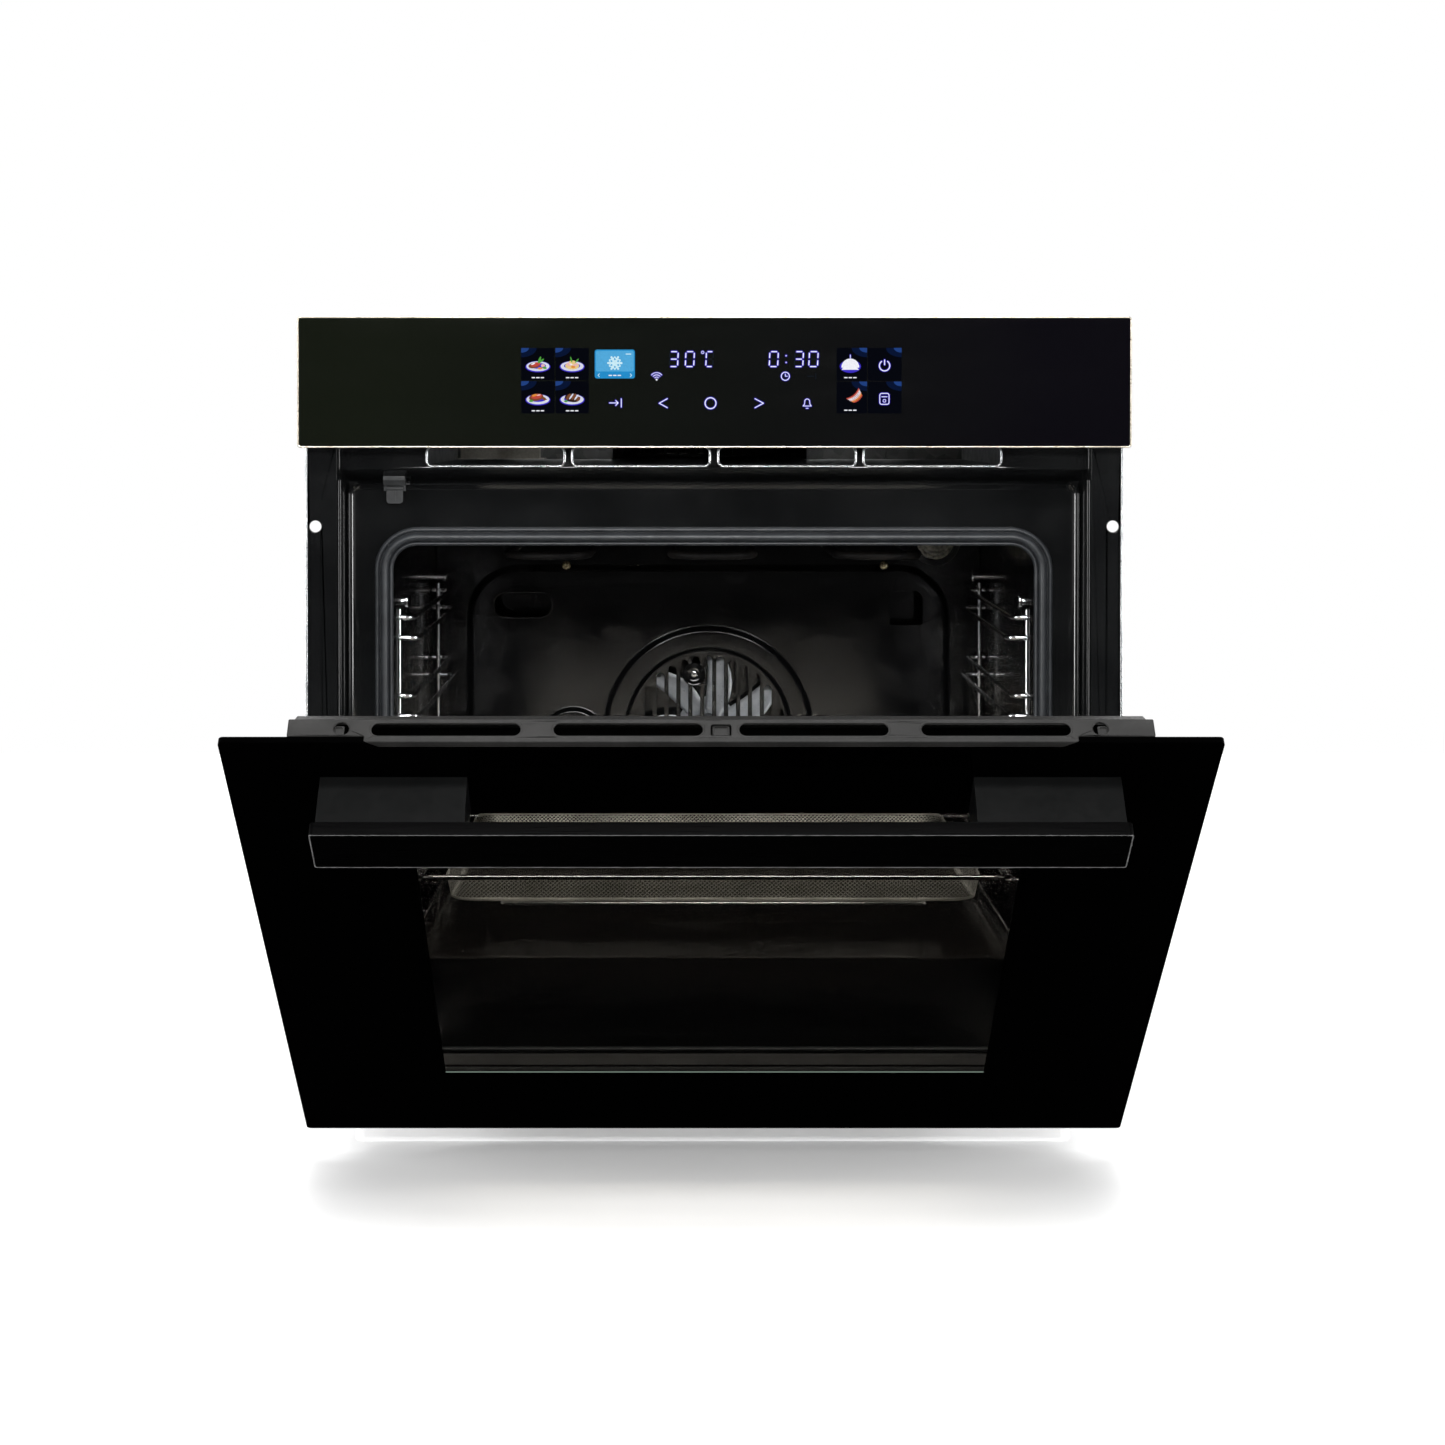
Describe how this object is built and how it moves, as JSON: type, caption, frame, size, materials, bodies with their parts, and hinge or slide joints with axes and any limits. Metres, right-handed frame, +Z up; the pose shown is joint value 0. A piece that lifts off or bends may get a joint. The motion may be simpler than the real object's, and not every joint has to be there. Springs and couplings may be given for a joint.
{
  "type": "wall oven",
  "caption": "Built-in wall oven with a drop-down glass door on hinge arms, a fan-heated cavity, side racks, a baking tray, a mesh basket and a touch control panel.",
  "frame": {"origin": "centre of the underside of the base plate", "axes": "+Z up, the front with the door faces -Y, +X to the right seen from the front"},
  "size_m": [0.595, 0.8919, 0.595],
  "materials": {
    "zinc": "galvanised sheet",
    "enamel": "glossy black vitreous enamel",
    "enamel_speckle": "glossy dark grey enamel with fine pale specks",
    "black_glass": "black float glass, polished",
    "door_glass": "clear float glass, polished",
    "glass_print": "black ceramic print behind the glass",
    "trim_metal": "satin champagne metal edge",
    "dark_trim": "matt dark grey, fine grain",
    "rail_steel": "satin dark grey paint",
    "handle_black": "satin black, bright chamfers",
    "bracket_grey": "satin dark grey",
    "rubber": "matt grey silicone",
    "chrome_wire": "bright chrome-plated wire",
    "heater": "oxidised heater sheath",
    "wool": "glass wool",
    "lamp_glass": "textured heat-proof glass",
    "ceramic": "white ceramic",
    "fan_alu": "satin",
    "motor": "laminated steel",
    "black_plastic": "moulded black plastic",
    "grey_plastic": "moulded grey plastic",
    "circuit": "green circuit board",
    "brass": "satin",
    "mesh": "perforated steel mesh",
    "outer_glass": "tinted clear glass, polished"
  },
  "bodies": {
    "casing": {"base_plate": "zinc", "side_panel_left": "zinc", "side_panel_right": "zinc", "top_cover": "zinc", "rear_panel": "zinc", "casing_screws": "zinc", "front_frame": "enamel", "door_gasket": "rubber", "cavity": "enamel_speckle", "cavity_back": "enamel_speckle", "fan_panel": "enamel_speckle", "panel_screws": "brass", "ring_element": "heater", "grill_element": "heater", "bottom_element": "heater", "insulation_jacket": "wool", "insulation_rear": "wool", "side_rack_left": "chrome_wire", "side_rack_right": "chrome_wire", "rack_studs": "chrome_wire", "lamp_ring": "black_plastic", "lamp_glass": "lamp_glass", "lamp_bulb": "lamp_glass", "lamp_holder": "ceramic", "fan_motor": "motor", "cooling_duct": "zinc", "blower_housing": "zinc", "cooling_motor": "motor", "steam_vent": "zinc", "control_trim": "trim_metal", "control_glass": "black_glass", "control_carrier": "black_plastic", "display_module": "black_plastic", "power_board": "circuit", "terminal_block": "ceramic", "cable_gland": "black_plastic", "wiring_loom": "black_plastic", "temperature_probe": "chrome_wire", "hinge_receivers": "zinc", "hinge_arms": "motor", "door_switch": "grey_plastic"},
    "door": {"door_outer_glass": "outer_glass", "door_glass_print": "glass_print", "door_middle_glass": "door_glass", "door_inner_glass": "door_glass", "door_top_trim": "dark_trim", "door_side_rails": "rail_steel", "door_bottom_rail": "rail_steel", "hinge_channels": "zinc", "handle_bar": "handle_black", "handle_brackets": "bracket_grey"},
    "strut_left": {"hinge_strut_left": "motor"},
    "strut_right": {"hinge_strut_right": "motor"},
    "fan": {"convection_fan": "fan_alu", "fan_nut": "brass"},
    "rotor": {"cooling_rotor": "black_plastic"},
    "flap": {"switch_flap": "grey_plastic"},
    "tray": {"baking_tray": "enamel_speckle"},
    "basket": {"air_fry_basket": "mesh", "basket_frame": "chrome_wire"}
  },
  "joints": [
    {"name": "door_hinge", "type": "hinge", "parent": "casing", "child": "door", "pos_m": [0, -0.3, 0.0532], "axis": [1, 0, 0], "range_deg": [-47.5, 42.5]},
    {"name": "strut_left_slide", "type": "slide", "parent": "door", "child": "strut_left", "axis": [0, -0.7373, 0.6756], "range_m": [-0.0095, 0.0105]},
    {"name": "strut_right_slide", "type": "slide", "parent": "door", "child": "strut_right", "axis": [0, -0.7373, 0.6756], "range_m": [-0.0095, 0.0105]},
    {"name": "fan_spin", "type": "hinge", "parent": "casing", "child": "fan", "pos_m": [0, 0.12, 0.2475], "axis": [0, 1, 0], "continuous": true},
    {"name": "rotor_spin", "type": "hinge", "parent": "casing", "child": "rotor", "pos_m": [0, 0.064, 0.49], "axis": [0, 0, 1], "continuous": true},
    {"name": "flap_hinge", "type": "hinge", "parent": "casing", "child": "flap", "pos_m": [-0.2325, -0.289, 0.4714], "axis": [1, 0, 0], "range_deg": [0, 8], "stiffness_Nm_per_rad": 0.01},
    {"name": "tray_slide", "type": "slide", "parent": "casing", "child": "tray", "axis": [0, -1, 0], "range_m": [0, 0.07]},
    {"name": "basket_slide", "type": "slide", "parent": "casing", "child": "basket", "axis": [0, -1, 0], "range_m": [0, 0.12]}
  ],
  "couplings": [
    {"joint": "strut_left_slide", "follows": "door_hinge", "m_per_rad": -0.012},
    {"joint": "strut_right_slide", "follows": "door_hinge", "m_per_rad": -0.012}
  ]
}
